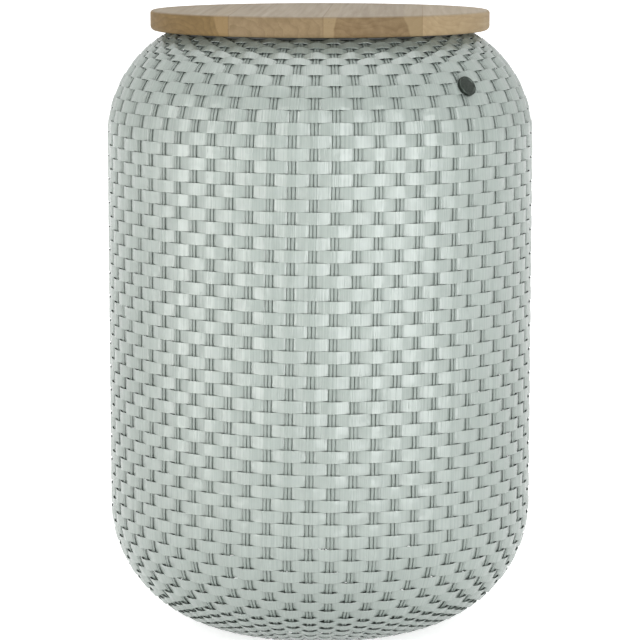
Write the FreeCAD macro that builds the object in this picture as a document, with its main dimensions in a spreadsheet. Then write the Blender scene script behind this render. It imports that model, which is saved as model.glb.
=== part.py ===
import FreeCAD, Part
import math
import os
import re
import Sketcher
from FreeCAD import Placement, Rotation, Vector

# Cooler table: a woven barrel on a flat bar frame, a lift-out cooler tub and a solid wood lid.
# Millimetres, +Z up, origin on the floor under the middle of the table, front towards -Y.

SIZES = {
    # Woven barrel, outside
    "body_radius": 180.0,
    "side_height": 316.0,
    "corner_radius": 104.0,
    "shoulder_radius": 99.0,
    "mouth_rise": 87.4,
    "wall": 4.0,
    # Weave: warps stand up the wall, rows of flat strap go round it
    "warp_count": 66,
    "warp_turn": -1.45,
    "row_pitch": 10.1,
    "base_pitch": 5.65,
    "mouth_pitch": 6.3,
    "wide_above": 75.6,
    "wide_below": 72.9,
    "brick_rise": 1.45,
    "window_sink": 0.1,
    # Laid by hand: the warps bunch and lean a few degrees, the rows droop and tilt a few millimetres
    "warp_bunch": 1.17,
    "bunch_bearing": 22.0,
    "warp_lean": 2.8,
    "row_droop": 3.85,
    "row_tilt": 4.55,
    "wall_step_angle": 10.0,
    # Floor plate and glides
    "plate_lap": 4.0,
    "plate_gap": 0.4,
    "plate_thickness": 3.0,
    "glide_height": 3.0,
    "glide_radius": 9.0,
    "glide_inset": 14.0,
    "glide_round": 1.5,
    "stem_radius": 3.0,
    "stem_head": 1.6,
    "stem_head_radius": 4.2,
    "stem_clearance": 0.2,
    "glide_count": 4,
    # Frame ribs, hoops and mouth ring
    "rib_count": 6,
    "rib_width": 16.0,
    "rib_thickness": 3.0,
    "rib_foot": 36.0,
    "frame_gap": 0.8,
    "hoop_height": 16.0,
    "hoop_thickness": 3.0,
    "hoop_inset": 4.0,
    "weld_gap": 0.1,
    "ring_width": 10.62,
    "ring_thickness": 4.0,
    "ring_edge_gap": 1.0,
    "rib_tab": 3.0,
    "wrap_height": 3.9,
    "wrap_lap": 0.5,
    "wrap_edge_gap": 0.4,
    "wrap_round": 1.6,
    # Cooler tub
    "tub_clearance": 3.0,
    "tub_depth": 407.0,
    "tub_draft": 6.0,
    "shell_thickness": 2.0,
    "foam_thickness": 7.5,
    "floor_foam": 10.0,
    "liner_thickness": 2.5,
    "liner_corner": 12.0,
    "shell_corner": 15.0,
    "layer_gap": 0.2,
    "flange_lap": 12.5,
    "flange_thickness": 2.0,
    "flange_round": 0.8,
    "skirt_depth": 10.0,
    "seat_gap": 0.3,
    # Drop handles inside the tub
    "pivot_drop": 60.7,
    "pivot_inset": 8.22,
    "handle_wire": 1.8,
    "handle_half_width": 25.0,
    "handle_drop": 34.0,
    "handle_bend": 11.0,
    "pin_bend": 4.0,
    "pin_reach": 31.2,
    "pin_clearance": 0.2,
    "ear_gap": 3.0,
    "ear_thickness": 1.5,
    "ear_reach": 4.0,
    "bracket_height": 12.0,
    "bracket_gap": 0.4,
    # Lid
    "lid_overhang": 17.5,
    "lid_thickness": 17.0,
    "lid_top_round": 2.5,
    "lid_bottom_round": 4.0,
    "lid_turn": -1.95,
    "left_stave": 74.2,
    "joint_middle": 7.3,
    "right_stave": 57.05,
    "plug_depth": 16.0,
    "plug_clearance": 3.0,
    "plug_round": 1.5,
    "groove_depth": 2.0,
    "groove_drop": 6.0,
    "seal_height": 4.0,
    "seal_bulge": 1.2,
    "seal_squeeze": 0.5,
    "seal_fit": 0.1,
    "screw_count": 8,
    "screw_inset": 14.0,
    "screw_radius": 2.0,
    "screw_head_radius": 4.0,
    "screw_bite": 10.0,
    "screw_clearance": 0.1,
    # Metal stud on the shoulder
    "stud_bearing": 44.5,
    "stud_run": 50.8,
    "stud_radius": 8.5,
    "stud_height": 3.0,
    "stud_rim": 1.5,
    "stud_round": 0.7,
    "stud_recess": 0.5,
    "stud_dome": 0.4,
    "post_radius": 2.0,
    "post_head_radius": 3.2,
    "post_head": 0.9,
    "post_clearance": 0.3,
    "washer_radius": 7.5,
    "washer_thickness": 1.2,
    "washer_gap": 0.9,
}

# Levels and radii worked out from the sizes above
DERIVED = {
    "flat_radius": "body_radius - corner_radius",
    "side_bottom": "glide_height + corner_radius",
    "side_top": "side_bottom + side_height",
    "shoulder_middle": "body_radius - shoulder_radius",
    "inner_shoulder": "shoulder_radius - wall",
    "inner_corner": "corner_radius - wall",
    "mouth_level": "side_top + mouth_rise",
    "wall_end_radius": "shoulder_middle + inner_shoulder * sqrt(1 - (mouth_rise / shoulder_radius) ^ 2)",
    "mouth_radius": "wall_end_radius - ring_edge_gap - ring_width",
    "rib_foot_radius": "flat_radius - rib_foot",
    "glide_circle": "flat_radius - glide_inset",
    "plate_bottom": "glide_height + wall + plate_gap",
    "plate_top": "plate_bottom + plate_thickness",
    "ring_top": "mouth_level - wrap_height",
    "ring_bottom": "ring_top - ring_thickness",
    "rib_face": "inner_corner - frame_gap",
    "rib_crown": "inner_shoulder - frame_gap",
    "rib_radius": "body_radius - wall - frame_gap",
    "rim_bottom": "mouth_level + seat_gap",
    "rim_top": "rim_bottom + flange_thickness",
    "flange_radius": "mouth_radius + flange_lap",
    "tub_radius": "mouth_radius - tub_clearance",
    "shell_bore": "tub_radius - shell_thickness",
    "liner_skin": "shell_bore - foam_thickness",
    "liner_radius": "liner_skin - liner_thickness",
    "shell_floor": "rim_bottom - tub_depth",
    "foam_floor": "shell_floor + shell_thickness + layer_gap",
    "liner_floor": "foam_floor + floor_foam + layer_gap",
    "pivot_level": "rim_bottom - pivot_drop",
    "bracket_radius": "liner_radius - tub_draft * pivot_drop / tub_depth - bracket_gap",
    "pivot_reach": "bracket_radius - pivot_inset",
    "lid_bottom": "rim_top + seat_gap",
    "lid_radius": "flange_radius + lid_overhang",
    "joint_left": "lid_radius - left_stave",
    "joint_right": "lid_radius - right_stave",
    "plug_bottom": "lid_bottom - plug_depth",
    "plug_radius": "liner_radius - plug_clearance",
    "screw_circle": "plug_radius - screw_inset",
    "groove_top": "lid_bottom - groove_drop",
    "seam_rise": "(brick_rise - window_sink) / 2",
    "stud_seat": "brick_rise + layer_gap",
}

doc = FreeCAD.newDocument("CoolerTable")
sheet = doc.addObject("Spreadsheet::Sheet", "Sizes")
for row, (alias, size) in enumerate(SIZES.items(), start=1):
    sheet.set(f"A{row}", alias)
    sheet.set(f"B{row}", str(size))
    sheet.setAlias(f"B{row}", alias)
doc.recompute()

PARTS = []


def bound(text):
    """The text as a document expression, with each size read from the sheet."""
    def swap(match):
        word = match.group(0)
        if word in DERIVED:
            return "(" + bound(DERIVED[word]) + ")"
        return "Sizes." + word if word in SIZES else word
    return re.sub(r"[a-z_]+", swap, text)


def value(text):
    return float(sheet.evalExpression(bound(text)))


def keep(label, thing):
    """Names a finished piece and puts it on the list of parts that are written."""
    thing.Label = label
    PARTS.append(thing)
    return thing


def new_body(label):
    return doc.addObject("PartDesign::Body", label)


def plane(body, role):
    return next(one for one in body.Origin.OriginFeatures if one.Role == role)


def sketch_on(body, role, name, level=None):
    """A sketch on one of the body's own planes, lifted along its normal by an expression."""
    sketch = body.newObject("Sketcher::SketchObject", name)
    sketch.AttachmentSupport = [(plane(body, role), "")]
    sketch.MapMode = "FlatFace"
    if level:
        sketch.setExpression("AttachmentOffset.Base.z", bound(level))
    return sketch


def pin_point(sketch, geometry, end, corner, tag):
    """Holds one end of an edge at a pair of expressions."""
    for axis, text in zip("XY", corner):
        if text == "0":
            line = -2 if axis == "X" else -1
            sketch.addConstraint(Sketcher.Constraint("PointOnObject", geometry, end, line))
            continue
        rule = Sketcher.Constraint("Distance" + axis, -1, 1, geometry, end, value(text))
        index = sketch.addConstraint(rule)
        name = f"{tag}_{axis.lower()}"
        sketch.renameConstraint(index, name)
        sketch.setExpression("Constraints." + name, bound(text))


def outline(sketch, corners, arcs=None):
    """A closed outline through corners given as expressions.

    arcs maps the number of a corner to the radius of the arc that leaves it.
    A radius with a minus sign bends clockwise along the outline.
    """
    arcs = arcs or {}
    points = [Vector(value(x), value(y), 0) for x, y in corners]
    count = len(points)
    start_end = {}
    for here in range(count):
        first, last = points[here], points[(here + 1) % count]
        if here not in arcs:
            edge = sketch.addGeometry(Part.LineSegment(first, last))
            start_end[here] = (edge, 1, 2)
            continue
        clockwise = arcs[here].startswith("-")
        radius = value(arcs[here].lstrip("-"))
        chord = last - first
        across = Vector(chord.y, -chord.x, 0).normalize()
        sagitta = radius - math.sqrt(max(radius ** 2 - chord.Length ** 2 / 4, 0))
        side = -1 if clockwise else 1
        middle = (first + last) * 0.5 + across * (side * sagitta)
        edge = sketch.addGeometry(Part.Arc(first, middle, last))
        start_end[here] = (edge, 2, 1) if clockwise else (edge, 1, 2)
    for here in range(count):
        edge, start, end = start_end[here]
        after, after_start, after_end = start_end[(here + 1) % count]
        sketch.addConstraint(Sketcher.Constraint("Coincident", edge, end, after, after_start))
        pin_point(sketch, edge, start, corners[here], f"corner_{here}")
        if here in arcs:
            text = arcs[here].lstrip("-")
            index = sketch.addConstraint(Sketcher.Constraint("Radius", edge, value(text)))
            sketch.renameConstraint(index, f"bend_{here}")
            sketch.setExpression(f"Constraints.bend_{here}", bound(text))


def circle(sketch, radius, tag, centre=("0", "0")):
    middle = Vector(value(centre[0]), value(centre[1]), 0)
    edge = sketch.addGeometry(Part.Circle(middle, Vector(0, 0, 1), value(radius)))
    index = sketch.addConstraint(Sketcher.Constraint("Radius", edge, value(radius)))
    sketch.renameConstraint(index, tag)
    sketch.setExpression("Constraints." + tag, bound(radius))
    pin_point(sketch, edge, 3, centre, tag + "_middle")


def pad(body, sketch, length, midplane=False):
    feature = body.newObject("PartDesign::Pad", body.Name + "_pad")
    feature.Profile = sketch
    feature.Midplane = midplane
    feature.setExpression("Length", bound(length))
    return feature


def revolved(label, corners, arcs=None):
    """A body turned about the Z axis from an outline of (radius, level) corners."""
    body = new_body(label)
    sketch = sketch_on(body, "XZ_Plane", label + "_outline")
    outline(sketch, corners, arcs)
    turn = body.newObject("PartDesign::Revolution", label + "_turn")
    turn.Profile = sketch
    turn.ReferenceAxis = (sketch, ["V_Axis"])
    turn.Angle = 360.0
    return body


def ring(label, outer, inner, bottom, height):
    """A flat ring between two radii, standing on a level."""
    body = new_body(label)
    sketch = sketch_on(body, "XY_Plane", label + "_outline", bottom)
    circle(sketch, outer, "outer")
    circle(sketch, inner, "inner")
    pad(body, sketch, height)
    return body


def turned(thing, angle):
    """Turns a piece about the Z axis by an expression in degrees."""
    thing.Placement = Placement(Vector(), Rotation(Vector(0, 0, 1), value(angle)))
    thing.setExpression("Placement.Rotation.Angle", bound(angle))
    return thing


# Woven barrel


def corner_run():
    return value("corner_radius") * math.pi / 2


def shoulder_run():
    return value("shoulder_radius") * math.asin(value("mouth_rise / shoulder_radius"))


def wall_point(run, inset):
    """Radius and level on the wall, a run along its outside from the floor hole and an inset deep."""
    if run <= corner_run():
        angle = run / value("corner_radius")
        reach = value("corner_radius") - inset
        return (value("flat_radius") + reach * math.sin(angle),
                value("side_bottom") - reach * math.cos(angle))
    run -= corner_run()
    if run <= value("side_height"):
        return value("body_radius") - inset, value("side_bottom") + run
    angle = (run - value("side_height")) / value("shoulder_radius")
    reach = value("shoulder_radius") - inset
    return (value("shoulder_middle") + reach * math.cos(angle),
            value("side_top") + reach * math.sin(angle))


def hand_laid(run, bearing):
    """Where the hand-laid weave has a point of its even grid: run along the wall and bearing in radians."""
    share = run / (corner_run() + value("side_height") + shoulder_run())
    bunch = value("warp_bunch") * math.sin(2 * (bearing - math.radians(value("bunch_bearing"))))
    lean = value("warp_lean") * (share - 0.545) * math.cos(bearing)
    droop = value("row_droop") + value("row_tilt") * math.sin(bearing)
    return run - droop * (1 - share) * math.sin(math.pi * share), bearing + math.radians(bunch + lean)


def warp_ring(run, inset, row=None):
    """One point at each warp. On a row of strap they stand out as bricks and back as windows by turns."""
    count = int(value("warp_count"))
    brick, window = value("brick_rise"), -value("window_sink")
    points = []
    for warp in range(count):
        rise = 0.0
        if row is not None:
            rise = brick if (warp + row) % 2 == 1 else window
        laid_run, bearing = hand_laid(run, math.radians(value("warp_turn") + warp * 360 / count))
        radius, level = wall_point(laid_run, inset - rise)
        points.append(Vector(radius * math.sin(bearing), -radius * math.cos(bearing), level))
    return points


def inner_runs(low, high):
    """Where the smooth inside of the wall has its edges: steps round the bends, none up the side."""
    step = math.radians(value("wall_step_angle"))
    bends = [(0.0, value("corner_radius"), corner_run()),
             (corner_run() + value("side_height"), value("shoulder_radius"), shoulder_run())]
    runs = [low, high]
    for start, radius, length in bends:
        steps = round(length / radius / step)
        runs += [start + length * number / steps for number in range(steps + 1)]
    return sorted(run for run in set(runs) if low <= run <= high)


def woven_band(label, low, high, rows, first_row):
    """A band of the wall: one ring of raised and sunk points for each row of strap."""
    pitch = (high - low) / rows
    seam = -value("seam_rise")
    rings = [warp_ring(low, seam)]
    for number in range(rows):
        rings.append(warp_ring(low + (number + 0.5) * pitch, 0, first_row + number))
    rings.append(warp_ring(high, seam))
    for run in reversed(inner_runs(low, high)):
        rings.append(warp_ring(run, value("wall")))
    count = len(rings[0])
    points = [point for one in rings for point in one]
    facets = []
    for here in range(len(rings)):
        above = (here + 1) % len(rings)
        for warp in range(count):
            beside = (warp + 1) % count
            a, b = here * count + warp, here * count + beside
            c, d = above * count + beside, above * count + warp
            # Inside and at the ends the split is the same for every band, so that neighbours meet face to face
            raised = (warp + first_row + here - 1) % 2 == 1 if here <= rows else here == rows + 1
            facets += [(a, b, d), (b, c, d)] if raised else [(a, b, c), (a, c, d)]
    skin = Part.Shape()
    skin.makeShapeFromMesh((points, facets), 0.001)
    feature = doc.addObject("Part::Feature", label)
    feature.Shape = Part.makeSolid(skin.Shells[0])
    return feature


def stud_placement():
    """The stud's own frame: origin on the wall, Z straight out of it."""
    run = corner_run() + value("side_height") + value("stud_run")
    radius, level = wall_point(run, 0)
    bearing = math.radians(value("stud_bearing"))
    lean = value("stud_run") / value("shoulder_radius")
    outward = Vector(math.sin(bearing) * math.cos(lean), -math.cos(bearing) * math.cos(lean), math.sin(lean))
    base = Vector(radius * math.sin(bearing), -radius * math.cos(bearing), level)
    return Placement(base, Rotation(Vector(0, 0, 1), outward))


def stud_hole():
    """A six-sided way through the weave, where the straps part round the stud's post."""
    reach = value("post_radius + post_clearance") / math.cos(math.pi / 6)
    depth = value("wall + brick_rise + washer_gap")
    corners = [Vector(reach * math.cos(math.radians(60 * n)), reach * math.sin(math.radians(60 * n)), -depth)
               for n in range(7)]
    hole = Part.Face(Part.makePolygon(corners)).extrude(Vector(0, 0, 2 * depth))
    hole.Placement = stud_placement()
    return hole


def woven_barrel():
    """Narrow rows under the corner, wide rows up the side and narrow rows round the mouth."""
    wide_low = corner_run() - value("wide_below")
    wide_high = corner_run() + value("side_height + wide_above")
    top = corner_run() + value("side_height") + shoulder_run()
    base_rows = round(wide_low / value("base_pitch"))
    side_rows = round((wide_high - wide_low) / value("row_pitch"))
    shoulder_rows = round((top - wide_high) / value("mouth_pitch"))
    keep("base_weave", woven_band("base_weave", 0.0, wide_low, base_rows, 0))
    side = woven_band("side_weave", wide_low, wide_high, side_rows, base_rows)
    side.Shape = side.Shape.cut(stud_hole())
    keep("side_weave", side)
    first = base_rows + side_rows
    keep("shoulder_weave", woven_band("shoulder_weave", wide_high, top, shoulder_rows, first))


# Frame


def floor_plate():
    """The disc that closes the floor, with a hole for each glide's stem."""
    body = new_body("floor_plate")
    sketch = sketch_on(body, "XY_Plane", "plate_outline", "plate_bottom")
    circle(sketch, "flat_radius + plate_lap", "edge")
    pad(body, sketch, "plate_thickness")
    holes = sketch_on(body, "XY_Plane", "stem_hole", "plate_bottom")
    circle(holes, "stem_radius + stem_clearance", "hole", ("glide_circle", "0"))
    cut = body.newObject("PartDesign::Pocket", "stem_pocket")
    cut.Profile = holes
    cut.Type = "ThroughAll"
    cut.Midplane = True
    pattern = body.newObject("PartDesign::PolarPattern", "stem_pockets")
    pattern.Originals = [cut]
    pattern.Axis = (holes, ["N_Axis"])
    pattern.Angle = 360.0
    pattern.setExpression("Occurrences", bound("glide_count"))
    body.Tip = pattern
    turned(body, "180 / glide_count")
    keep("floor_plate", body)


def glide(number):
    """A nylon glide: a round foot with a stem that snaps through the floor plate."""
    label = f"glide_{number + 1}"
    body = revolved(label, [
        ("0", "0"),
        ("glide_radius - glide_round", "0"),
        ("glide_radius", "glide_round"),
        ("glide_radius", "plate_bottom"),
        ("stem_radius", "plate_bottom"),
        ("stem_radius", "plate_top"),
        ("stem_head_radius", "plate_top"),
        ("stem_radius", "plate_top + stem_head"),
        ("0", "plate_top + stem_head"),
    ], {1: "glide_round"})
    bearing = f"(180 + 360 * {number}) / glide_count"
    body.Placement = Placement(Vector(value(f"glide_circle * cos({bearing})"),
                                      value(f"glide_circle * sin({bearing})"), 0), Rotation())
    body.setExpression("Placement.Base.x", bound(f"glide_circle * cos({bearing})"))
    body.setExpression("Placement.Base.y", bound(f"glide_circle * sin({bearing})"))
    keep(label, body)


def rib(number):
    """A flat bar bent to the inside of the wall, from the floor plate to under the mouth ring."""
    label = f"rib_{number + 1}"
    body = new_body(label)
    sketch = sketch_on(body, "XZ_Plane", label + "_outline")
    low, high = "plate_top", "ring_bottom"
    low_back, high_back = "plate_top + rib_thickness", "ring_bottom - rib_thickness"
    back_corner, back_crown = "(rib_face - rib_thickness)", "(rib_crown - rib_thickness)"
    outline(sketch, [
        ("rib_foot_radius", low),
        (f"flat_radius + sqrt(rib_face ^ 2 - (side_bottom - ({low})) ^ 2)", low),
        ("rib_radius", "side_bottom"),
        ("rib_radius", "side_top"),
        (f"shoulder_middle + sqrt(rib_crown ^ 2 - ({high} - side_top) ^ 2)", high),
        ("mouth_radius + rib_tab", high),
        ("mouth_radius + rib_tab", high_back),
        (f"shoulder_middle + sqrt({back_crown} ^ 2 - ({high_back} - side_top) ^ 2)", high_back),
        ("rib_radius - rib_thickness", "side_top"),
        ("rib_radius - rib_thickness", "side_bottom"),
        (f"flat_radius + sqrt({back_corner} ^ 2 - (side_bottom - ({low_back})) ^ 2)", low_back),
        ("rib_foot_radius", low_back),
    ], {1: "rib_face", 3: "rib_crown", 7: "-" + back_crown, 9: "-" + back_corner})
    pad(body, sketch, "rib_width", midplane=True)
    turned(body, f"360 * {number} / rib_count")
    keep(label, body)


def frame():
    floor_plate()
    for number in range(int(value("glide_count"))):
        glide(number)
    for number in range(int(value("rib_count"))):
        rib(number)
    outer = "rib_radius - rib_thickness - weld_gap"
    inner = outer + " - hoop_thickness"
    keep("lower_hoop", ring("lower_hoop", outer, inner, "side_bottom + hoop_inset", "hoop_height"))
    keep("upper_hoop", ring("upper_hoop", outer, inner, "side_top - hoop_inset - hoop_height", "hoop_height"))
    keep("mouth_ring", ring("mouth_ring", "wall_end_radius - ring_edge_gap", "mouth_radius",
                            "ring_bottom", "ring_thickness"))
    edge = "wall_end_radius - wrap_edge_gap"
    keep("rim_wrap", revolved("rim_wrap", [
        ("mouth_radius - wrap_lap", "ring_top"),
        (edge, "ring_top"),
        (edge, "mouth_level - wrap_round"),
        (edge + " - wrap_round", "mouth_level"),
        ("mouth_radius - wrap_lap + wrap_round", "mouth_level"),
        ("mouth_radius - wrap_lap", "mouth_level - wrap_round"),
    ], {2: "wrap_round", 4: "wrap_round"}))


# Metal stud


def stud():
    top = "(stud_seat + stud_height)"
    cap = revolved("stud_cap", [
        ("0", "stud_seat"),
        ("stud_radius", "stud_seat"),
        ("stud_radius", top + " - stud_round"),
        ("stud_radius - stud_round", top),
        ("stud_radius - stud_rim", top),
        ("stud_radius - stud_rim - stud_recess", top + " - stud_recess"),
        ("0", top + " - stud_recess + stud_dome"),
    ], {2: "stud_round"})
    seat = "(wall + washer_gap)"
    post = revolved("stud_post", [
        ("0", "stud_seat"),
        ("0", f"-{seat} - washer_thickness - post_head"),
        ("post_head_radius", f"-{seat} - washer_thickness - post_head"),
        ("post_head_radius", f"-{seat} - washer_thickness"),
        ("post_radius", f"-{seat} - washer_thickness"),
        ("post_radius", "stud_seat"),
    ])
    washer = ring("stud_washer", "washer_radius", "post_radius + weld_gap",
                  f"-{seat} - washer_thickness", "washer_thickness")
    for label, piece in (("stud_cap", cap), ("stud_post", post), ("stud_washer", washer)):
        piece.Placement = stud_placement()
        keep(label, piece)


# Cooler tub


def tub_wall(label, radius, corner, top, floor, thickness, floor_thickness):
    """A drafted round tub with a rounded floor edge, given by its outside."""
    low = f"({radius}) - tub_draft"
    inner_low = f"({low}) - ({thickness})"
    inner_corner = f"({corner}) - ({thickness})"
    inner_floor = f"({floor}) + ({floor_thickness})"
    return keep(label, revolved(label, [
        ("0", floor),
        (f"({low}) - ({corner})", floor),
        (low, f"({floor}) + ({corner})"),
        (radius, top),
        (f"({radius}) - ({thickness})", top),
        (inner_low, f"({inner_floor}) + ({inner_corner})"),
        (f"({inner_low}) - ({inner_corner})", inner_floor),
        ("0", inner_floor),
    ], {1: corner, 5: "-(" + inner_corner + ")"}))


def tub():
    tub_wall("tub_shell", "tub_radius", "shell_corner", "rim_bottom", "shell_floor",
             "shell_thickness", "shell_thickness")
    tub_wall("tub_foam", "shell_bore - layer_gap", "shell_corner - shell_thickness - layer_gap",
             "rim_bottom - skirt_depth - seat_gap", "foam_floor",
             "foam_thickness - 2 * layer_gap", "floor_foam")
    tub_wall("tub_liner", "liner_skin", "liner_corner + liner_thickness", "rim_bottom",
             "liner_floor", "liner_thickness", "liner_thickness")
    skirt_out, skirt_in = "shell_bore - 2 * layer_gap", "liner_skin + layer_gap"
    keep("tub_rim", revolved("tub_rim", [
        ("liner_radius", "rim_bottom"),
        (skirt_in, "rim_bottom"),
        (skirt_in, "rim_bottom - skirt_depth"),
        (skirt_out, "rim_bottom - skirt_depth"),
        (skirt_out, "rim_bottom"),
        ("flange_radius", "rim_bottom"),
        ("flange_radius", "rim_top - flange_round"),
        ("flange_radius - flange_round", "rim_top"),
        ("liner_radius + flange_round", "rim_top"),
        ("liner_radius", "rim_top - flange_round"),
    ], {6: "flange_round", 8: "flange_round"}))


# Drop handles


def handle_bracket(label, turn):
    """A bent strip on the liner with an ear at each end for the handle's pins."""
    body = new_body(label)
    sketch = sketch_on(body, "XY_Plane", label + "_outline", "pivot_level - bracket_height / 2")
    near = "(handle_half_width + ear_gap)"
    far = "(handle_half_width + ear_gap + ear_thickness)"
    back = "(bracket_radius - ear_thickness)"
    tip = "pivot_reach - ear_reach"
    foot = f"sqrt({back} ^ 2 - {near} ^ 2)"
    heel = f"sqrt(bracket_radius ^ 2 - {far} ^ 2)"
    outline(sketch, [
        (tip, "-" + far), (heel, "-" + far), (heel, far), (tip, far),
        (tip, near), (foot, near), (foot, "-" + near), (tip, "-" + near),
    ], {1: "bracket_radius", 5: "-" + back})
    pad(body, sketch, "bracket_height")
    holes = sketch_on(body, "XZ_Plane", label + "_pin_hole")
    circle(holes, "handle_wire + pin_clearance", "hole", ("pivot_reach", "pivot_level"))
    cut = body.newObject("PartDesign::Pocket", label + "_pin_pocket")
    cut.Profile = holes
    cut.Type = "ThroughAll"
    cut.Midplane = True
    turned(body, turn)
    keep(label, body)


def drop_handle(label, turn):
    """A bent wire: two legs and a grip, with its ends turned out as pins."""
    body = new_body(label)
    path = sketch_on(body, "YZ_Plane", label + "_path", "pivot_reach")
    bottom = "pivot_level - handle_drop"
    half, pin, grip = "handle_half_width", "pin_bend", "handle_bend"
    corners = [
        (f"-{half} - {pin} - (pin_reach - {half} - {pin})", "pivot_level"),
        (f"-{half} - {pin}", "pivot_level"),
        (f"-{half}", f"pivot_level - {pin}"),
        (f"-{half}", f"{bottom} + {grip}"),
        (f"-{half} + {grip}", bottom),
        (f"{half} - {grip}", bottom),
        (half, f"{bottom} + {grip}"),
        (half, f"pivot_level - {pin}"),
        (f"{half} + {pin}", "pivot_level"),
        ("pin_reach", "pivot_level"),
    ]
    open_path(path, corners, {1: "-" + pin, 3: grip, 5: grip, 7: "-" + pin})
    section = sketch_on(body, "XZ_Plane", label + "_section", "pin_reach")
    circle(section, "handle_wire", "wire", ("pivot_reach", "pivot_level"))
    sweep = body.newObject("PartDesign::AdditivePipe", label + "_pipe")
    sweep.Profile = section
    sweep.Spine = (path, [f"Edge{number}" for number in range(1, len(corners))])
    turned(body, turn)
    keep(label, body)


def open_path(sketch, corners, arcs):
    """An open path through corners given as expressions, with arcs as in an outline."""
    points = [Vector(value(x), value(y), 0) for x, y in corners]
    previous = None
    for here in range(len(points) - 1):
        first, last = points[here], points[here + 1]
        if here in arcs:
            clockwise = arcs[here].startswith("-")
            radius = value(arcs[here].lstrip("-"))
            chord = last - first
            across = Vector(chord.y, -chord.x, 0).normalize()
            sagitta = radius - math.sqrt(max(radius ** 2 - chord.Length ** 2 / 4, 0))
            middle = (first + last) * 0.5 + across * (-sagitta if clockwise else sagitta)
            edge = sketch.addGeometry(Part.Arc(first, middle, last))
            start, end = (2, 1) if clockwise else (1, 2)
            index = sketch.addConstraint(Sketcher.Constraint("Radius", edge, radius))
            sketch.renameConstraint(index, f"bend_{here}")
            sketch.setExpression(f"Constraints.bend_{here}", bound(arcs[here].lstrip("-")))
        else:
            edge = sketch.addGeometry(Part.LineSegment(first, last))
            start, end = 1, 2
        if previous:
            sketch.addConstraint(Sketcher.Constraint("Coincident", *previous, edge, start))
        pin_point(sketch, edge, start, corners[here], f"corner_{here}")
        previous = (edge, end)
    pin_point(sketch, *previous, corners[-1], f"corner_{len(corners) - 1}")


def handles():
    for side, turn in (("right", "0"), ("left", "180")):
        handle_bracket(f"{side}_bracket", turn)
        drop_handle(f"{side}_handle", turn)


# Lid


def primitive(kind, name, **sizes):
    """A Part primitive with its sizes and place bound to expressions."""
    solid = doc.addObject(kind, name)
    for path, text in sizes.items():
        solid.setExpression(path.replace("_", "."), bound(text))
    return solid


def screw_places():
    """Screws evenly round one circle, clear of the glue lines: pairs of expressions."""
    places = []
    for number in range(int(value("screw_count"))):
        bearing = f"(180 + 360 * {number}) / screw_count"
        places.append((f"screw_circle * cos({bearing})", f"screw_circle * sin({bearing})"))
    return places


def screw(name, place, play):
    """A countersunk screw from under the plug, or with play the hole that it goes in."""
    sizes = {"Placement_Base_x": place[0], "Placement_Base_y": place[1]}
    shank = primitive("Part::Cylinder", name + "_shank", Radius=f"screw_radius + {play}",
                      Height=f"plug_depth + screw_bite + {play}", Placement_Base_z="plug_bottom", **sizes)
    head = primitive("Part::Cone", name + "_head", Radius1=f"screw_head_radius + {play}",
                     Radius2=f"screw_radius + {play}", Height="screw_head_radius - screw_radius",
                     Placement_Base_z="plug_bottom", **sizes)
    whole = doc.addObject("Part::Fuse", name)
    whole.Base = shank
    whole.Tool = head
    return whole


def screw_set(name, play):
    group = doc.addObject("Part::Compound", name)
    group.Links = [screw(f"{name}_{number}", place, play)
                   for number, place in enumerate(screw_places(), start=1)]
    return group


def lid():
    blank = revolved("lid_blank", [
        ("0", "lid_bottom"),
        ("lid_radius - lid_bottom_round", "lid_bottom"),
        ("lid_radius", "lid_bottom + lid_bottom_round"),
        ("lid_radius", "lid_bottom + lid_thickness - lid_top_round"),
        ("lid_radius - lid_top_round", "lid_bottom + lid_thickness"),
        ("0", "lid_bottom + lid_thickness"),
    ], {1: "lid_bottom_round", 3: "lid_top_round"})
    holes = screw_set("screw_holes", "screw_clearance")
    edges = ["-lid_radius", "-joint_left", "joint_middle", "joint_right", "lid_radius"]
    for number in range(len(edges) - 1):
        left, right = edges[number], edges[number + 1]
        plank = primitive("Part::Box", f"plank_{number + 1}", Length=f"({right}) - ({left})",
                          Width="2 * lid_radius", Height="lid_thickness",
                          Placement_Base_x=left, Placement_Base_y="-lid_radius",
                          Placement_Base_z="lid_bottom")
        sawn = doc.addObject("Part::Common", f"sawn_stave_{number + 1}")
        sawn.Base = blank
        sawn.Tool = plank
        stave = doc.addObject("Part::Cut", f"stave_{number + 1}")
        stave.Base = sawn
        stave.Tool = holes
        keep(f"stave_{number + 1}", turned(stave, "lid_turn"))
    groove_base = "plug_radius - groove_depth"
    disc = revolved("plug_disc", [
        ("0", "plug_bottom"),
        ("plug_radius - plug_round", "plug_bottom"),
        ("plug_radius", "plug_bottom + plug_round"),
        ("plug_radius", "groove_top - seal_height - seal_fit"),
        (groove_base, "groove_top - seal_height - seal_fit"),
        (groove_base, "groove_top"),
        ("plug_radius", "groove_top"),
        ("plug_radius", "lid_bottom"),
        ("0", "lid_bottom"),
    ], {1: "plug_round"})
    plug = doc.addObject("Part::Cut", "lid_plug")
    plug.Base = disc
    plug.Tool = holes
    keep("lid_plug", turned(plug, "lid_turn"))
    keep("lid_screws", turned(screw_set("lid_screw", "0"), "lid_turn"))
    lip = "liner_radius - seal_squeeze - seal_bulge"
    bulge = "(seal_height ^ 2 / 4 + seal_bulge ^ 2) / (2 * seal_bulge)"
    keep("lid_seal", revolved("lid_seal", [
        (groove_base + " + seal_fit", "groove_top - seal_height"),
        (lip, "groove_top - seal_height"),
        (lip, "groove_top"),
        (groove_base + " + seal_fit", "groove_top"),
    ], {1: bulge}))


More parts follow.
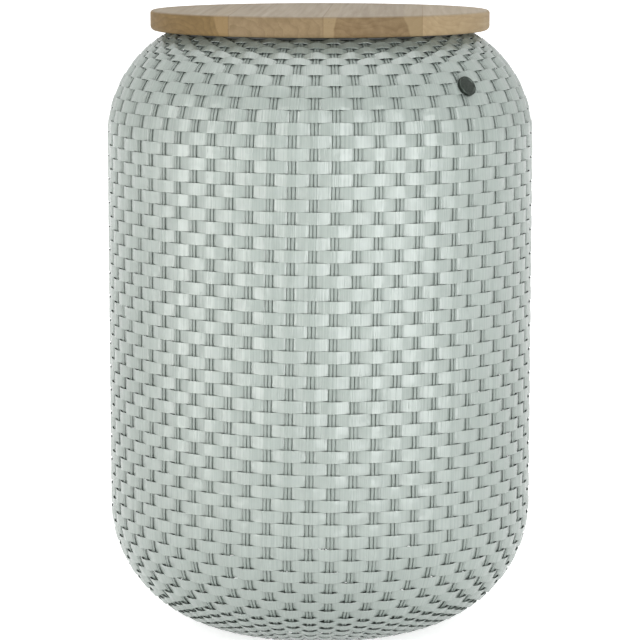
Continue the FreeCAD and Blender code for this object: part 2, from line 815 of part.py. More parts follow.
def write_parts():
    """Checks every object, then writes one file for each part."""
    doc.recompute()
    for thing in doc.Objects:
        if "Invalid" in thing.State or "Error" in thing.State:
            raise RuntimeError(f"{thing.Label} failed: {thing.State}")
    os.makedirs("parts", exist_ok=True)
    for thing in PARTS:
        shape = thing.Shape
        if shape.isNull() or not shape.isValid():
            raise RuntimeError(f"{thing.Label} has no valid shape")
        shape.exportStep(f"parts/{thing.Label}.step")
        print(f"{thing.Label}: {len(shape.Solids)} solid(s), {shape.Volume / 1000:.1f} cm3")


woven_barrel()
frame()
stud()
tub()
handles()
lid()
write_parts()
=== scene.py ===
# Cooler table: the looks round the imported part. Metres, +Z up, front towards -Y.

import math

import bpy
import numpy as np
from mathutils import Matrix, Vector


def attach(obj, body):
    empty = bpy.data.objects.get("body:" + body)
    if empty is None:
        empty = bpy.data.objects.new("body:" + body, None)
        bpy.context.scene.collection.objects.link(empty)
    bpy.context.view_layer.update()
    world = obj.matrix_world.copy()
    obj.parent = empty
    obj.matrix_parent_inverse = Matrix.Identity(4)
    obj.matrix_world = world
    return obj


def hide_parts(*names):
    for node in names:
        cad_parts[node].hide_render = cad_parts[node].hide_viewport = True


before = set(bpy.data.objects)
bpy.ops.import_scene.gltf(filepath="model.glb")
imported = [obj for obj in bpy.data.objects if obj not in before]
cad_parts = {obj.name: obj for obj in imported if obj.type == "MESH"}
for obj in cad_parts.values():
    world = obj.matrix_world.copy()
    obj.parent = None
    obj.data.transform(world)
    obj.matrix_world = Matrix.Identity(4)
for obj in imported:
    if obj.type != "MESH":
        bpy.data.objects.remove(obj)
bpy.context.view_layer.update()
RANDOM = np.random.default_rng(11)
FULL_TURN = 2 * math.pi

# Outside of the woven wall, the same as the part's. A run goes along it from the floor's hole to the mouth
BODY_RADIUS = 0.180
SIDE_HEIGHT = 0.316
CORNER_RADIUS = 0.104
SHOULDER_RADIUS = 0.099
MOUTH_RISE = 0.0874
FLOOR_GAP = 0.003
FLAT_RADIUS = BODY_RADIUS - CORNER_RADIUS
SIDE_BOTTOM = FLOOR_GAP + CORNER_RADIUS
SHOULDER_MIDDLE = BODY_RADIUS - SHOULDER_RADIUS
CORNER_RUN = CORNER_RADIUS * math.pi / 2
SHOULDER_RUN = SHOULDER_RADIUS * math.asin(MOUTH_RISE / SHOULDER_RADIUS)
MOUTH_RUN = CORNER_RUN + SIDE_HEIGHT + SHOULDER_RUN
BEND_GAIN = 1.6

# Rows of strap: narrow ones under the corner, wide ones up the side, narrow ones at the mouth
BASE_ROWS, SIDE_ROWS, SHOULDER_ROWS = 16, 46, 5
WIDE_ROUND_CORNER = 0.0729
WIDE_ROUND_SHOULDER = 0.0756
WIDE_LOW = CORNER_RUN - WIDE_ROUND_CORNER
WIDE_HIGH = CORNER_RUN + SIDE_HEIGHT + WIDE_ROUND_SHOULDER
# Below this run a strap bulges towards the floor, above it towards the mouth
TURNING_RUN = CORNER_RUN + SIDE_HEIGHT * 0.45

# Laid by hand: the warps bunch and lean a little, the rows droop and tilt, the same as the part's
WARP_COUNT = 66
WARP_TURN = math.radians(-1.45)
WARP_BUNCH = math.radians(1.17)
BUNCH_BEARING = math.radians(22.0)
WARP_LEAN = math.radians(2.8)
UPRIGHT_SHARE = 0.545
ROW_DROOP = 0.00385
ROW_TILT = 0.00455

# Warps: two upright strips side by side, drawn in under each brick of strap and proud where they show
WARP_STRIP = 0.0024
WARP_GAP = 0.0005
WARP_THICKNESS = 0.0009
WARP_LIFT = -0.0007
WARP_PROUD = 0.0002
WARP_WAVER = 0.0004
WARP_END_GAP = 0.0004
SECTION_ACROSS = np.array([-1.0, -0.78, 0.0, 0.78, 1.0, 0.0])
SECTION_LIFT = np.array([0.0, 0.5, 0.62, 0.5, 0.0, -0.5]) * WARP_THICKNESS

# Strap along a brick, by the share of the way from its middle to the warp that it passes behind
STRAP_THICKNESS = 0.0005
STRAP_TOP = 0.00115
STRAP_BOTTOM = -0.0021
FACET_SLOPE = 0.21
LOWER_STEEPER = 1.12
FLAT_SHARE, BRICK_SHARE, SUNK_SHARE = 0.19, 0.78, 0.88
STEPS = np.array([0.0, 0.12, 0.165, 0.22, 0.35, 0.5, 0.65, 0.78, 0.835, 0.88])

# Strap across: half widths, and the outline of its section with softened edges
NARROW_PITCH = 0.008
NARROW_GAP, NARROW_END, NARROW_CROWN, NARROW_TILT = 0.0001, 0.0017, 0.0037, 0.0005
ROW_GAP = 0.00004
END_DRAWN_IN, CROWN_SWELL, CROWN_TILT = 0.00015, 0.0004, 0.0003
TUCK, TUCK_START, TUCK_LENGTH = 0.0003, 0.56, 0.08
HIDDEN_START, HIDDEN_LENGTH, HIDDEN_OVERLAP = 0.74, 0.06, 0.0004
PINCH, PINCH_START, PINCH_LENGTH = 0.015, 0.68, 0.10
DOME_POWER = 0.6
STRAP_END_GAP = 0.0002
ACROSS = np.array([-0.97, -0.4, 0.4, 0.97, 1.0, 0.97, -0.97, -1.0])
OFFSET = np.array([1.0, 1.12, 1.12, 1.0, 0.0, -1.0, -1.0, 0.0]) * STRAP_THICKNESS / 2

# How much one brick differs from the next: width at its middle, place and facet slope
SWELL_SPREAD, SWAY_SPREAD, SLOPE_SPREAD = 0.10, 0.00012, 0.07

# Border wound round the mouth ring: where it lies, and how full the strap is at each step of a turn
WRAP_TURNS = 96
WRAP_INNER = 0.1136
WRAP_OUTER = 0.1251
WRAP_TOP = 0.5103
WRAP_BOTTOM = 0.5066
WRAP_STEPS = np.array([0.0, 0.06, 0.5, 0.94])
WRAP_FULLNESS = np.array([0.55, 1.0, 0.9, 0.75])
WRAP_SIDES = 20
WRAP_SQUARENESS = 0.45
WRAP_LAP = 0.00045
WRAP_LEAN = 0.012

# Steps of the UVs from warp to warp and strip to strip, and round and along the wound border
WARP_UV_STEP, STRIP_UV_STEP = 0.0171, 0.004
WRAP_UV_SIDE, WRAP_UV_TURN = 0.002, 0.0085

# The lid's turn in its seat, and its glue lines in the lid's own X
LID_TURN = math.radians(-1.95)
JOINTS = (-0.0698, 0.0073, 0.08695)
LID_MIDDLE_LEVEL = 0.5215

# An X past the lid's edge, for a stave with no pale wood on one side
PAST_LID = 0.2

# The photograph's camera: a focal length in the pixels of its frame, a place and a tilt down
FRAME_PIXELS = 640
FOCAL_PIXELS = 2871.2
SENSOR_WIDTH = 36.0
CAMERA_PLACE = (0.0, -2.4515, 0.6317)
CAMERA_TILT = 8.549
VIEW_END = 50.0


# Mesh building

SHARP_ANGLE = math.radians(35.0)


def make_object(name, points, faces, uv):
    """An object from arrays of points, quads and their corners' UVs, smooth but for its sharp edges."""
    mesh = bpy.data.meshes.new(name)
    mesh.vertices.add(len(points))
    mesh.vertices.foreach_set("co", points.astype(np.float32).ravel())
    mesh.loops.add(faces.size)
    mesh.loops.foreach_set("vertex_index", faces.astype(np.int32).ravel())
    mesh.polygons.add(len(faces))
    mesh.polygons.foreach_set("loop_start", np.arange(0, faces.size, 4, dtype=np.int32))
    mesh.polygons.foreach_set("use_smooth", np.ones(len(faces), bool))
    layer = mesh.uv_layers.new(name="strap")
    layer.data.foreach_set("uv", uv.astype(np.float32).ravel())
    mesh.update(calc_edges=True)
    mesh.validate()
    mesh.set_sharp_from_angle(angle=SHARP_ANGLE)
    thing = bpy.data.objects.new(name, mesh)
    bpy.context.scene.collection.objects.link(thing)
    return thing


def make_joined(name, parts):
    """One object from several parts, each its points, faces and UVs."""
    points, faces, uvs, start = [], [], [], 0
    for part_points, part_faces, part_uvs in parts:
        points.append(part_points.reshape(-1, 3))
        faces.append(part_faces + start)
        uvs.append(part_uvs.reshape(-1, 2))
        start += len(points[-1])
    return make_object(name, np.concatenate(points), np.concatenate(faces), np.concatenate(uvs))


def band_faces(along, across, closed_along):
    """Quads of a tube: a grid of along by across points, closed across and, on request, along."""
    rows = np.arange(along if closed_along else along - 1)
    sides = np.arange(across)
    first, second = np.meshgrid(rows, sides, indexing="ij")
    ahead = (first + 1) % along
    beside = (second + 1) % across
    quads = np.stack([first * across + second, ahead * across + second,
                      ahead * across + beside, first * across + beside], axis=-1)
    return quads.reshape(-1, 4)


def along_loop(places, whole, step):
    """Places along a closed band at its faces' corners. The last faces end at the whole length, not at 0."""
    closing = (step == 0) & (step.max(axis=1, keepdims=True) == len(places) - 1)
    return np.where(closing, whole, places[step])


def ramp(value, start, length):
    """0 up to start, and then up to 1 over a length."""
    return np.clip((value - start) / length, 0, 1)


# The wall


def wall_point(run, lift):
    """Radius and level of the wall at a run, lifted off it."""
    low = np.minimum(run, CORNER_RUN) / CORNER_RADIUS
    high = np.maximum(run - CORNER_RUN - SIDE_HEIGHT, 0) / SHOULDER_RADIUS
    straight = np.clip(run - CORNER_RUN, 0, SIDE_HEIGHT)
    on_corner = run < CORNER_RUN
    radius = np.where(on_corner, FLAT_RADIUS + (CORNER_RADIUS + lift) * np.sin(low),
                      SHOULDER_MIDDLE + (SHOULDER_RADIUS + lift) * np.cos(high))
    level = np.where(on_corner, SIDE_BOTTOM - (CORNER_RADIUS + lift) * np.cos(low),
                     SIDE_BOTTOM + straight + (SHOULDER_RADIUS + lift) * np.sin(high))
    return radius, level


def bend_share(run):
    """0 on the straight side, 1 well round the corner or the shoulder."""
    into_corner = (CORNER_RUN - run) / CORNER_RUN
    into_shoulder = (run - CORNER_RUN - SIDE_HEIGHT) / SHOULDER_RUN
    return min(max(into_corner, into_shoulder, 0.0) * BEND_GAIN, 1.0)


def hand_laid(run, bearing):
    """Where the hand-laid weave has a point of its even grid: run and bearing."""
    share = run / MOUTH_RUN
    bunch = WARP_BUNCH * np.sin(2 * (bearing - BUNCH_BEARING))
    lean = WARP_LEAN * (share - UPRIGHT_SHARE) * np.cos(bearing)
    droop = ROW_DROOP + ROW_TILT * np.sin(bearing)
    return run - droop * (1 - share) * np.sin(math.pi * share), bearing + bunch + lean


def weave_place(run, lift, bearing):
    """Points of the weave from run, lift and bearing, the bearing from -Y towards +X."""
    run, bearing = hand_laid(run, bearing)
    radius, level = wall_point(run, lift)
    return np.stack([radius * np.sin(bearing), -radius * np.cos(bearing), level], axis=-1)


# Rows of strap


def row_places():
    """Run of the middle of each row and the pitch there, from the floor's hole to the mouth."""
    bands = [(0.0, WIDE_LOW, BASE_ROWS), (WIDE_LOW, WIDE_HIGH, SIDE_ROWS),
             (WIDE_HIGH, MOUTH_RUN, SHOULDER_ROWS)]
    places = []
    for low, high, count in bands:
        pitch = (high - low) / count
        places += [(low + (number + 0.5) * pitch, pitch) for number in range(count)]
    return places


ROWS = row_places()


def over_under(distance, slope):
    """Lift of a strap by the distance from its brick's middle: flat, sloping, then down behind the warps."""
    pitch = FULL_TURN * BODY_RADIUS / WARP_COUNT
    facet = STRAP_TOP - slope * pitch * np.clip(distance - FLAT_SHARE, 0, BRICK_SHARE - FLAT_SHARE)
    dive = ramp(distance, BRICK_SHARE, SUNK_SHARE - BRICK_SHARE)
    return facet + (STRAP_BOTTOM - facet) * dive


def half_widths(run, pitch, distance, swell):
    """A strap's half widths along its bricks, first towards the side's middle and then away from it."""
    bend = bend_share(run)
    if pitch < NARROW_PITCH:
        near, end, crown = pitch / 2 - NARROW_GAP, NARROW_END, NARROW_CROWN
    else:
        near = pitch / 2 - ROW_GAP
        end = near - END_DRAWN_IN * bend
        crown = pitch / 2 + CROWN_SWELL * bend
    dome = np.cos(np.clip(distance / BRICK_SHARE, 0, 1) * math.pi / 2) ** DOME_POWER
    far = end + (crown - end) * dome * swell + TUCK * bend * ramp(distance, TUCK_START, TUCK_LENGTH)

    # Behind the warps the strap keeps its whole width, so hardly any light comes through the wall
    hidden = ramp(distance, HIDDEN_START, HIDDEN_LENGTH)
    covered = pitch / 2 + HIDDEN_OVERLAP
    pinch = 1 - PINCH * ramp(distance, PINCH_START, PINCH_LENGTH) ** 2 * (1 - hidden)
    return (near + (covered - near) * hidden) * pinch, (far + (covered - far) * hidden) * pinch


def strap_row(row):
    """Points, faces and UVs of one row of strap as a closed band."""
    run, pitch = ROWS[row]
    upper = run > TURNING_RUN
    outward = 1.0 if upper else -1.0
    along = (np.arange(WARP_COUNT)[:, None] + STEPS[None, :]).ravel()
    distance = np.abs((along + row) % 2 - 1)
    share = np.clip(1 - distance / BRICK_SHARE, 0, 1)

    # Each brick differs a little from its neighbours
    bricks = WARP_COUNT // 2
    brick = np.round((along + row - 1) / 2).astype(int) % bricks
    swell = 1 + RANDOM.normal(0, SWELL_SPREAD, bricks)[brick]
    sway = RANDOM.normal(0, SWAY_SPREAD, bricks)[brick]
    slope = FACET_SLOPE * (1 + RANDOM.normal(0, SLOPE_SPREAD, bricks)[brick])
    if not upper:
        slope = slope * LOWER_STEEPER

    near, far = half_widths(run, pitch, distance, swell)
    reach = ACROSS * np.where(ACROSS > 0, far[:, None], near[:, None])
    runs = run + outward * reach + (sway * share)[:, None]
    runs = np.minimum(runs, MOUTH_RUN - STRAP_END_GAP)
    tilt = NARROW_TILT if pitch < NARROW_PITCH else CROWN_TILT * bend_share(run)
    lift = over_under(distance, slope)[:, None] + OFFSET
    lift = lift + tilt * np.clip(ACROSS, 0, 1) * share[:, None]
    bearing = WARP_TURN + along * FULL_TURN / WARP_COUNT
    points = weave_place(runs, lift, bearing[:, None] + 0 * lift)

    faces = band_faces(len(along), len(ACROSS), True)
    if upper:
        faces = faces[:, ::-1]
    step, side = faces // len(ACROSS), faces % len(ACROSS)
    radius = float(wall_point(np.array(run), 0.0)[0])
    u = along_loop(along * FULL_TURN / WARP_COUNT * radius, FULL_TURN * radius, step)
    v = run + outward * ACROSS * pitch / 2
    return points, faces, np.stack([u, v[side]], axis=-1)


# Warps


def warp_cuts():
    """Runs of the cuts along a warp, and how an even warp lies there: 1 proud, -1 under a brick."""
    runs, windows = [0.0], [0.0]
    for number, (run, pitch) in enumerate(ROWS):
        runs += [run, run + pitch / 2]
        windows += [1.0 if number % 2 == 0 else -1.0, 0.0]
    runs[-1] = MOUTH_RUN - WARP_END_GAP
    return np.array(runs), np.array(windows)


WARP_RUNS, EVEN_WINDOWS = warp_cuts()


def warp_strip(warp, side):
    """Points, faces and UVs of one of the two strips of a warp, side -1 or 1."""
    bearing = WARP_TURN + warp * FULL_TURN / WARP_COUNT
    bearing += (side * (WARP_STRIP + WARP_GAP) / 2 + SECTION_ACROSS * WARP_STRIP / 2) / BODY_RADIUS
    bearing = bearing[None, :] + RANDOM.normal(0, WARP_WAVER, len(WARP_RUNS))[:, None]
    window = EVEN_WINDOWS if warp % 2 == 0 else -EVEN_WINDOWS
    lift = WARP_LIFT + WARP_PROUD * window[:, None] + SECTION_LIFT
    points = weave_place(WARP_RUNS[:, None] + 0 * lift, lift, bearing)
    faces = band_faces(len(WARP_RUNS), len(SECTION_LIFT), False)[:, ::-1]
    step, edge = faces // len(SECTION_LIFT), faces % len(SECTION_LIFT)
    u = warp * WARP_UV_STEP + side * STRIP_UV_STEP + SECTION_ACROSS[edge] * WARP_STRIP / 2
    return points, faces, np.stack([u, WARP_RUNS[step]], axis=-1)


# Border wound round the mouth ring


def mouth_binding():
    """Strap wound round the mouth ring, each turn lapping the last a little."""
    middle = (WRAP_INNER + WRAP_OUTER) / 2
    half_width = (WRAP_OUTER - WRAP_INNER) / 2
    centre = (WRAP_TOP + WRAP_BOTTOM) / 2
    half_height = (WRAP_TOP - WRAP_BOTTOM) / 2
    along = (np.arange(WRAP_TURNS)[:, None] + WRAP_STEPS[None, :]).ravel()
    shrink = WRAP_LAP * (1 - np.tile(WRAP_FULLNESS, WRAP_TURNS))[:, None]
    angle = np.linspace(0, FULL_TURN, WRAP_SIDES, endpoint=False)
    cosine = np.sign(np.cos(angle)) * np.abs(np.cos(angle)) ** WRAP_SQUARENESS
    sine = np.sign(np.sin(angle)) * np.abs(np.sin(angle)) ** WRAP_SQUARENESS
    radius = middle + cosine[None, :] * (half_width - shrink)
    level = centre + sine[None, :] * (half_height - shrink)
    lean = WRAP_LEAN * (radius - middle) / half_width
    bearing = (along * FULL_TURN / WRAP_TURNS)[:, None] + lean
    points = np.stack([radius * np.sin(bearing), -radius * np.cos(bearing), level], axis=-1)
    faces = band_faces(len(along), WRAP_SIDES, True)[:, ::-1]
    step, side = faces // WRAP_SIDES, faces % WRAP_SIDES
    uv = np.stack([side * WRAP_UV_SIDE, along_loop(along, WRAP_TURNS, step) * WRAP_UV_TURN], axis=-1)
    return make_joined("mouth_binding", [(points, faces, uv)])


# Materials


class Nodes:
    """A short way to write the nodes of a material or a world."""

    def __init__(self, owner, shader="Principled BSDF"):
        owner.use_nodes = True
        self.owner = owner
        self.tree = owner.node_tree
        self.shader = self.tree.nodes[shader]

    def add(self, kind, inputs=None, **settings):
        node = self.tree.nodes.new(kind)
        for key, setting in settings.items():
            setattr(node, key, setting)
        for key, source in (inputs or {}).items():
            self.feed(node.inputs[key], source)
        return node

    def feed(self, socket, source):
        """Links an output to a socket, or sets a plain value on it."""
        if hasattr(source, "is_output"):
            self.tree.links.new(source, socket)
        else:
            socket.default_value = source

    def math(self, operation, first, second=0.0, third=0.0):
        node = self.add("ShaderNodeMath", operation=operation)
        for number, source in enumerate((first, second, third)):
            self.feed(node.inputs[number], source)
        return node.outputs[0]

    def mix(self, share, first, second):
        """Mixes two colours, which are the node's sockets 6 and 7, into its output 2."""
        node = self.add("ShaderNodeMix", data_type="RGBA")
        self.feed(node.inputs["Factor"], share)
        self.feed(node.inputs[6], first)
        self.feed(node.inputs[7], second)
        return node.outputs[2]

    def spread(self, source, low, high, to_low, to_high):
        node = self.add("ShaderNodeMapRange", clamp=True)
        for key, item in (("Value", source), ("From Min", low), ("From Max", high),
                          ("To Min", to_low), ("To Max", to_high)):
            self.feed(node.inputs[key], item)
        return node.outputs["Result"]

    def spread_noise(self, noise, to_low, to_high):
        """Spreads the range where most of a noise lies."""
        return self.spread(noise, 0.3, 0.7, to_low, to_high)

    def noise(self, vector, scale=1.0, detail=2.0, roughness=0.5, stretch=None):
        if stretch:
            vector = self.add("ShaderNodeMapping", {"Vector": vector, "Scale": stretch}).outputs[0]
        node = self.add("ShaderNodeTexNoise", {"Vector": vector, "Scale": scale, "Detail": detail,
                                               "Roughness": roughness})
        return node.outputs["Fac"]

    def bump(self, height, strength, distance):
        node = self.add("ShaderNodeBump", {"Height": height, "Strength": strength, "Distance": distance})
        self.feed(self.shader.inputs["Normal"], node.outputs["Normal"])

    def set(self, **inputs):
        """Sets the shader's sockets, with _ for a space in their names, and gives back the owner."""
        for key, source in inputs.items():
            self.feed(self.shader.inputs[key.replace("_", " ")], source)
        return self.owner

    def place(self):
        return self.add("ShaderNodeTexCoord").outputs["Object"]

    def apart(self, vector):
        """X, Y and Z of a vector."""
        return self.add("ShaderNodeSeparateXYZ", {"Vector": vector}).outputs


def colour(red, green, blue):
    """Linear colour from 0 to 255 values as they show."""
    def line(value):
        value /= 255
        return value / 12.92 if value <= 0.04045 else ((value + 0.055) / 1.055) ** 2.4
    return (line(red), line(green), line(blue), 1.0)


def strap_material(name, deep, pale, gloss, specular):
    """Satin strap, drawn across its width into fine ribs, strong on one brick and faint on the next."""
    rib_pitch = 0.00085
    rib_height = 0.03
    nodes = Nodes(bpy.data.materials.new(name))
    uv = nodes.add("ShaderNodeUVMap", uv_map="strap").outputs[0]
    ribs = nodes.math("SINE", nodes.math("MULTIPLY", nodes.apart(uv)[0], FULL_TURN / rib_pitch))
    streak = nodes.noise(uv, stretch=(900.0, 9.0, 1.0))
    brick = nodes.noise(uv, detail=1.0, stretch=(48.0, 95.0, 1.0))
    strength = nodes.spread(brick, 0.38, 0.62, 0.15, 1.0)
    blotch = nodes.noise(nodes.place(), scale=22.0)
    tone = nodes.mix(nodes.spread_noise(streak, 0.0, 1.0), deep, pale)
    tone = nodes.mix(nodes.spread(blotch, 0.35, 0.65, 0.0, 0.25), tone, deep)
    height = nodes.math("MULTIPLY_ADD", ribs, rib_height, nodes.math("MULTIPLY", streak, strength))
    nodes.bump(height, 1.0, 0.0005)
    return nodes.set(Base_Color=tone, Roughness=nodes.spread_noise(streak, gloss - 0.02, gloss + 0.03),
                     Specular_IOR_Level=specular)


def plain_material(name, base, other, roughness, metallic=0.0, scale=60.0, bump=0.00005, stretch=None):
    """One finish with a fine unevenness in tone, gloss and surface."""
    nodes = Nodes(bpy.data.materials.new(name))
    grain = nodes.noise(nodes.place(), scale, detail=3.0, stretch=stretch)
    tone = nodes.mix(nodes.spread_noise(grain, 0.0, 1.0), colour(*base), colour(*other))
    nodes.bump(grain, 0.4, bump)
    return nodes.set(Base_Color=tone, Metallic=metallic,
                     Roughness=nodes.spread_noise(grain, roughness - 0.05, roughness + 0.07))


def ring_share(nodes, x, z, middle, pitch, wander):
    """Growth rings round an axis along Y, from 0 at each ring's early wood to 1 at its late wood."""
    wander_reach, late_power = 0.022, 2.5
    across = nodes.math("SUBTRACT", x, middle[0])
    up = nodes.math("SUBTRACT", z, middle[1])
    squares = nodes.math("ADD", nodes.math("POWER", across, 2.0), nodes.math("POWER", up, 2.0))
    reach = nodes.math("MULTIPLY_ADD", wander, wander_reach, nodes.math("SQRT", squares))
    wave = nodes.math("FRACT", nodes.math("DIVIDE", reach, pitch))
    return nodes.math("POWER", wave, late_power)


def pale_share(nodes, x, z, wander, pale_below, pale_above, slopes):
    """1 in the pale wood at a stave's sides, 0 between."""
    soft, waver_width = 0.0008, 0.006
    above = nodes.math("SUBTRACT", z, LID_MIDDLE_LEVEL)
    waver = nodes.math("MULTIPLY_ADD", nodes.math("SUBTRACT", wander, 0.5), waver_width, x)
    low, high = [nodes.math("MULTIPLY_ADD", above, slope, waver) for slope in slopes]
    return nodes.math("MAXIMUM", nodes.spread(low, pale_below - soft, pale_below + soft, 1.0, 0.0),
                      nodes.spread(high, pale_above - soft, pale_above + soft, 0.0, 1.0))


def glue_share(nodes, x):
    """Strongest on the lid's glue lines, 0 off them."""
    dark_within, clear_beyond, strength = 0.0002, 0.0006, 0.4
    first, second, third = [nodes.math("ABSOLUTE", nodes.math("SUBTRACT", x, joint)) for joint in JOINTS]
    nearest = nodes.math("MINIMUM", nodes.math("MINIMUM", first, second), third)
    return nodes.spread(nearest, dark_within, clear_beyond, strength, 0.0)


def wood_material(number, heart, late_wood, pale, middle, ring_pitch, seed,
                  pale_below=-PAST_LID, pale_above=PAST_LID, slopes=(0.0, 0.0)):
    """One stave. Its rings lie round an axis along it, so its ends show arcs and its top long grain.

    middle is the axis in X and Z. Pale wood lies below one X and above another, each on its own slope.
    """
    heart, late_wood, pale = colour(*heart), colour(*late_wood), colour(*pale)
    nodes = Nodes(bpy.data.materials.new(f"teak_{number}"))
    turned = {"Vector": nodes.place(), "Rotation": (0.0, 0.0, -LID_TURN)}
    spot = nodes.add("ShaderNodeMapping", turned).outputs[0]
    x, _, z = nodes.apart(spot)
    moved = {"Vector": spot, "Location": (seed * 0.37, seed * 0.11, 0.0)}
    shifted = nodes.add("ShaderNodeMapping", moved).outputs[0]
    wander = nodes.noise(shifted, stretch=(38.0, 5.0, 60.0))
    pores = nodes.noise(shifted, detail=3.0, roughness=0.6, stretch=(900.0, 30.0, 900.0))
    streak = nodes.noise(shifted, detail=3.0, roughness=0.6, stretch=(170.0, 4.0, 170.0))

    # Rings and streaks in the heartwood, fainter rings in the pale wood, and dark pores in both
    late = ring_share(nodes, x, z, middle, ring_pitch, wander)
    body = nodes.mix(nodes.spread_noise(streak, 0.0, 0.5), heart, late_wood)
    body = nodes.mix(nodes.math("MULTIPLY", late, 0.4), body, late_wood)
    sap = nodes.mix(nodes.math("MULTIPLY", late, 0.25), pale, heart)
    tone = nodes.mix(pale_share(nodes, x, z, wander, pale_below, pale_above, slopes), body, sap)
    tone = nodes.mix(nodes.spread(pores, 0.60, 0.72, 0.0, 0.3), tone, late_wood)

    # The top is painted paler and greyer than the edge: a painted sheen of the light across it
    facing_up = nodes.apart(nodes.add("ShaderNodeNewGeometry").outputs["Normal"])[2]
    top_sheen_share = nodes.math("MULTIPLY", nodes.spread(facing_up, 0.45, 0.95, 0.0, 1.0), 0.7)
    sheen_grey = nodes.mix(nodes.spread_noise(streak, 0.0, 1.0), colour(177, 165, 147), colour(160, 148, 130))
    tone = nodes.mix(top_sheen_share, tone, sheen_grey)
    tone = nodes.mix(glue_share(nodes, x), tone, late_wood)
    height = nodes.math("MULTIPLY_ADD", pores, -0.5, nodes.math("MULTIPLY", streak, 0.5))
    nodes.bump(height, 0.5, 0.0002)
    return nodes.set(Base_Color=tone, Roughness=nodes.spread_noise(streak, 0.58, 0.7),
                     Specular_IOR_Level=0.3)


def dress(names, material):
    """Gives CAD nodes their finish."""
    for name in names:
        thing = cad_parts[name]
        thing.data.materials.clear()
        thing.data.materials.append(material)


# The woven barrel

STRAP = strap_material("woven_strap", colour(157, 167, 161), colour(173, 183, 177), gloss=0.2, specular=1.0)
# The warps' tone is set a little darker than the woven strap's: painted shade for the sunk windows where they
# show
WARP = strap_material("upright_strap", colour(152, 162, 156), colour(166, 175, 170), gloss=0.45, specular=0.5)
BANDS = [
    ("base_weave", BASE_ROWS, ["base_straps_inner", "base_straps_outer"]),
    ("side_weave", SIDE_ROWS, ["side_straps_low", "side_straps_middle", "side_straps_high",
                               "side_straps_top"]),
    ("shoulder_weave", SHOULDER_ROWS, ["shoulder_straps"]),
]
woven = []
first_row = 0
for node, count, names in BANDS:
    rows = np.arange(first_row, first_row + count)
    for name, group_rows in zip(names, np.array_split(rows, len(names))):
        band = make_joined(name, [strap_row(row) for row in group_rows])
        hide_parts(node)
        woven.append(band)
    first_row += count
half = WARP_COUNT // 2
for name, warps in (("warps_right", range(half)), ("warps_left", range(half, WARP_COUNT))):
    group = make_joined(name, [warp_strip(warp, side) for warp in warps for side in (-1, 1)])
    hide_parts("base_weave", "side_weave", "shoulder_weave")
    woven.append(group)
binding = mouth_binding()
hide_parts("rim_wrap")
woven.append(binding)
for piece in woven:
    upright = piece.name.startswith("warps")
    piece.data.materials.append(WARP if upright else STRAP)
    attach(piece, "basket")

# Metal, plastic and rubber pieces

dress(["floor_plate", "lower_hoop", "upper_hoop", "mouth_ring"] + [f"rib_{n}" for n in range(1, 7)],
      plain_material("powder_coat", (178, 187, 181), (170, 179, 173), 0.5, scale=900.0))
dress([f"glide_{n}" for n in range(1, 5)],
      plain_material("glide_nylon", (34, 35, 36), (26, 27, 28), 0.55, scale=700.0))
dress(["stud_cap", "stud_post", "stud_washer"],
      plain_material("stud_metal", (74, 80, 75), (54, 60, 56), 0.3, metallic=1.0, scale=1.0,
                     bump=0.00004, stretch=(700.0, 700.0, 90.0)))
dress(["tub_shell"],
      plain_material("tub_plastic", (186, 189, 188), (178, 181, 180), 0.5, scale=500.0))
dress(["tub_foam"],
      plain_material("foam", (238, 234, 222), (225, 220, 206), 0.8, scale=900.0))
dress(["tub_liner", "lid_plug"],
      plain_material("liner_plastic", (232, 234, 233), (226, 228, 228), 0.24, scale=40.0))
dress(["tub_rim"],
      plain_material("rim_plastic", (60, 65, 62), (50, 55, 52), 0.42, scale=900.0))
dress(["right_bracket", "left_bracket", "right_handle", "left_handle", "lid_screws"],
      plain_material("stainless", (196, 197, 196), (182, 183, 183), 0.27, metallic=1.0, scale=1.0,
                     bump=0.00002, stretch=(1500.0, 60.0, 1500.0)))
dress(["lid_seal"],
      plain_material("seal_rubber", (52, 53, 54), (44, 45, 46), 0.6, scale=500.0))

# The lid's staves, from left to right

STAVES = [
    dict(heart=(136, 111, 70), late_wood=(98, 78, 48), pale=(148, 123, 84), middle=(-0.117, 0.490),
         ring_pitch=0.0052, seed=3.1, pale_above=-0.0800, slopes=(0.0, 0.43)),
    dict(heart=(150, 129, 98), late_wood=(116, 96, 68), pale=(154, 133, 102), middle=(-0.066, 0.505),
         ring_pitch=0.0092, seed=7.4),
    dict(heart=(138, 116, 84), late_wood=(104, 82, 54), pale=(153, 132, 99), middle=(0.045, 0.600),
         ring_pitch=0.0058, seed=12.9, pale_below=0.0170, pale_above=0.0746, slopes=(-0.15, 0.37)),
    dict(heart=(178, 156, 122), late_wood=(150, 127, 94), pale=(182, 163, 134), middle=(0.121, 0.570),
         ring_pitch=0.0044, seed=19.3),
]
for number, look in enumerate(STAVES, start=1):
    dress([f"stave_{number}"], wood_material(number, **look))


# Floor, light and camera


def seen_directly(nodes):
    """1 for the lens, a reflection and a view through something clear, 0 for the light on the object."""
    path = nodes.add("ShaderNodeLightPath").outputs
    mirrored = nodes.math("MAXIMUM", path["Is Glossy Ray"], path["Is Transmission Ray"])
    return nodes.math("MAXIMUM", path["Is Camera Ray"], mirrored)


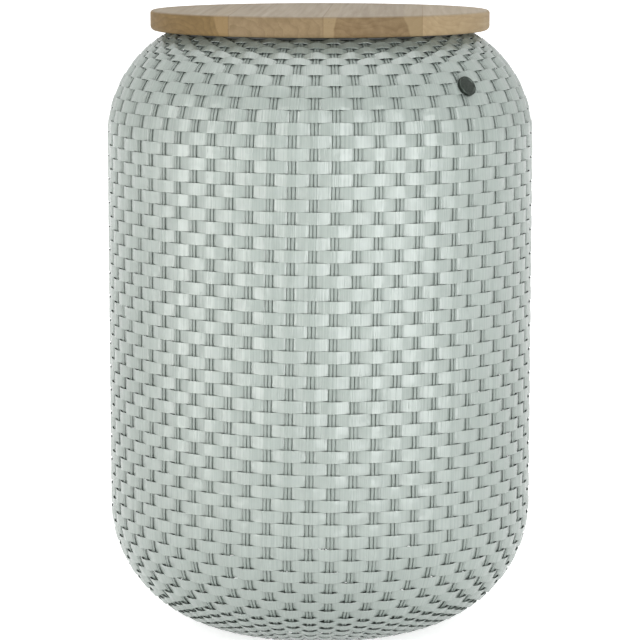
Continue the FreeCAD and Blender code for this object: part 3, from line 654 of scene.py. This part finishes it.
def pale_floor():
    """A plain floor that keeps the object's shadow and turns white for the lens further away."""
    floor_side = 30
    near, far, near_glow, far_glow = 0.6, 4.0, 0.74, 1.0
    bpy.ops.mesh.primitive_plane_add(size=floor_side)
    floor = bpy.context.object
    floor.name = "floor"
    nodes = Nodes(bpy.data.materials.new("floor"))
    nodes.set(Base_Color=colour(250, 250, 250), Roughness=0.9, Specular_IOR_Level=0.0)
    away = nodes.add("ShaderNodeVectorMath", {"Vector": nodes.place()}, operation="LENGTH").outputs["Value"]
    glow_share = nodes.spread(away, near, far, near_glow, far_glow)
    white = nodes.math("MULTIPLY", seen_directly(nodes), glow_share)
    glow = nodes.add("ShaderNodeEmission", {"Strength": white})
    both = nodes.add("ShaderNodeAddShader")
    nodes.feed(both.inputs[0], nodes.shader.outputs[0])
    nodes.feed(both.inputs[1], glow.outputs[0])
    nodes.feed(nodes.tree.nodes["Material Output"].inputs["Surface"], both.outputs[0])
    floor.data.materials.append(nodes.owner)


def white_world():
    """White for the lens. Its light is weak from the front, where the lamps are, and stronger from behind."""
    front, back, front_light, back_light = -0.3, 0.7, 0.1, 1.0
    nodes = Nodes(bpy.data.worlds.new("studio"), "Background")
    bpy.context.scene.world = nodes.owner
    direction = nodes.add("ShaderNodeTexCoord").outputs["Generated"]
    light = nodes.spread(nodes.apart(direction)[1], front, back, front_light, back_light)
    nodes.set(Color=(1, 1, 1, 1), Strength=nodes.spread(seen_directly(nodes), 0.0, 1.0, light, 1.0))


def area_light(name, place, target, size, power, tint=(1.0, 1.0, 1.0)):
    data = bpy.data.lights.new(name, "AREA")
    data.shape = "RECTANGLE"
    data.size, data.size_y = size
    data.energy = power
    data.color = tint
    lamp = bpy.data.objects.new(name, data)
    lamp.location = place
    lamp.rotation_euler = (Vector(target) - Vector(place)).to_track_quat("-Z", "Y").to_euler()
    bpy.context.scene.collection.objects.link(lamp)


def lens():
    data = bpy.data.cameras.new("lens")
    data.sensor_width = SENSOR_WIDTH
    data.lens = FOCAL_PIXELS / FRAME_PIXELS * SENSOR_WIDTH
    data.clip_end = VIEW_END
    camera = bpy.data.objects.new("lens", data)
    camera.location = CAMERA_PLACE
    camera.rotation_euler = (math.radians(90 - CAMERA_TILT), 0, 0)
    bpy.context.scene.collection.objects.link(camera)
    bpy.context.scene.camera = camera


pale_floor()
white_world()
area_light("left_box", place=(-0.708, -0.573, 0.48), target=(0, 0, 0.48), size=(0.35, 0.94), power=3.7,
           tint=(1.0, 1.0, 0.98))
area_light("right_box", place=(0.466, -0.797, 0.48), target=(0, 0, 0.48), size=(0.45, 0.94), power=4.7,
           tint=(0.98, 1.0, 1.0))
area_light("top_box", place=(0, -0.4, 2.4), target=(0, 0, 0.35), size=(1.8, 1.8), power=15)
lens()
bpy.context.scene.view_settings.view_transform = "Standard"
